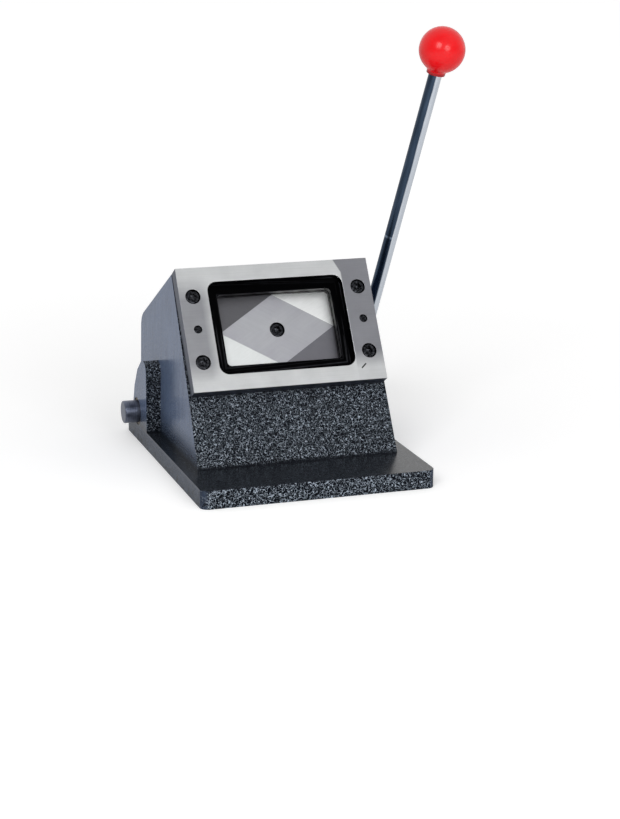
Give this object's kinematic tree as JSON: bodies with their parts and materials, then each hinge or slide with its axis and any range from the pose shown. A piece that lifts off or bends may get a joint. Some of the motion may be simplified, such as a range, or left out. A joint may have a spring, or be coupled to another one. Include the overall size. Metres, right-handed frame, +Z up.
{
  "type": "card die cutter",
  "caption": "Hand lever die cutter for plastic cards: leaning ground die plate with a window, hollow cast housing on a flat base, long side lever with a ball knob.",
  "frame": {"origin": "centre of the base's underside", "axes": "+Z up, -Y towards the front with the die window, +X towards the side with the lever"},
  "size_m": [0.2425, 0.215, 0.3114],
  "materials": {
    "casting_enamel": "hammertone",
    "ground_steel": "ground",
    "punch_steel": "ground",
    "black_oxide": "black oxide",
    "bright_steel": "polished",
    "turned_steel": "turned",
    "zinc_steel": "satin",
    "spring_steel": "satin",
    "bronze": "turned",
    "insert_brass": "turned",
    "red_phenolic": "gloss"
  },
  "bodies": {
    "frame": {"frame_casting": "casting_enamel", "bottom_cover": "zinc_steel", "cover_screws": "black_oxide", "die_plate": "ground_steel", "die_screws": "black_oxide", "dowel_pins": "black_oxide", "sheet_spacers": "spring_steel", "guide_plate": "turned_steel", "guide_screws": "black_oxide", "ram_bush": "bronze", "return_spring": "spring_steel", "left_bush": "bronze", "right_bush": "bronze"},
    "punch": {"punch": "punch_steel", "punch_screw": "black_oxide", "ram": "turned_steel", "spring_collar": "turned_steel", "ram_ring": "spring_steel", "thrust_pad": "spring_steel"},
    "lever": {"cross_shaft": "turned_steel", "shaft_collars": "turned_steel", "collar_screws": "black_oxide", "cam": "turned_steel", "cam_pin": "spring_steel", "lever_rod": "bright_steel", "lever_grub_screw": "black_oxide", "knob_insert": "insert_brass", "ball_knob": "red_phenolic"}
  },
  "joints": [
    {"name": "lever_hinge", "type": "hinge", "parent": "frame", "child": "lever", "pos_m": [0, 0.073, 0.0228], "axis": [1, 0, 0], "range_deg": [0, 60]},
    {"name": "punch_slide", "type": "slide", "parent": "frame", "child": "punch", "axis": [0, -0.848, 0.5299], "range_m": [0, 0.0081], "stiffness_N_per_m": 2500, "springref_m": -0.02, "deforming": ["return_spring"]}
  ],
  "couplings": [
    {"joint": "punch_slide", "follows": "lever_hinge", "m_per_rad": 0.007639}
  ]
}
